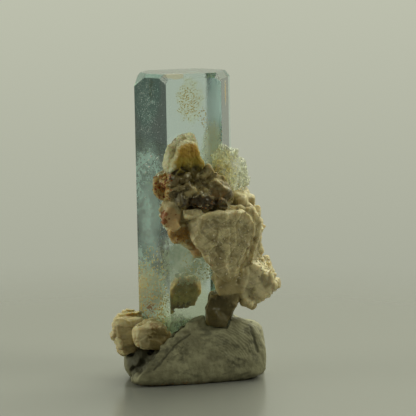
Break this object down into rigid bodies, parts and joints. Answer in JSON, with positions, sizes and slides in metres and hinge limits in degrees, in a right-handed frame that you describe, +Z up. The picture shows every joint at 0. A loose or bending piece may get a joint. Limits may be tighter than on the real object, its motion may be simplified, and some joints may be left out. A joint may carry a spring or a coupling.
{
  "type": "aquamarine crystal",
  "caption": "Clear six-sided aquamarine prism with feldspar and smoky quartz grown on it, standing in a lump of mounting putty.",
  "frame": {"origin": "under the middle of the bounding box, on the plane that the putty rests on", "axes": "+Z up along the prism, -Y towards the front where the feldspar grows, +X to the right"},
  "size_m": [0.0256, 0.021, 0.0459],
  "materials": {
    "aquamarine": "clear pale blue-green beryl, polished natural faces, healed cracks and small flakes inside",
    "albite": "matt cream feldspar with cleavage steps, rust stains in its hollows",
    "smoky_quartz": "dark brown-grey quartz, half clear, glossy broken faces, red-brown crevices",
    "stained_quartz": "yellow-brown iron-stained quartz with a pale rim, satin",
    "pale_beryl": "crust of small pale green crystals, half clear, glittering",
    "putty": "grey-brown mounting putty, folded and pressed, with finger ridges and smudges"
  },
  "bodies": {
    "root": {"aquamarine_prism": "aquamarine", "albite_matrix": "albite", "smoky_quartz_cluster": "smoky_quartz", "stained_quartz_knob": "stained_quartz", "pale_beryl_crust": "pale_beryl", "albite_foot": "albite", "albite_back_knob": "albite", "putty_base": "putty"}
  },
  "joints": []
}
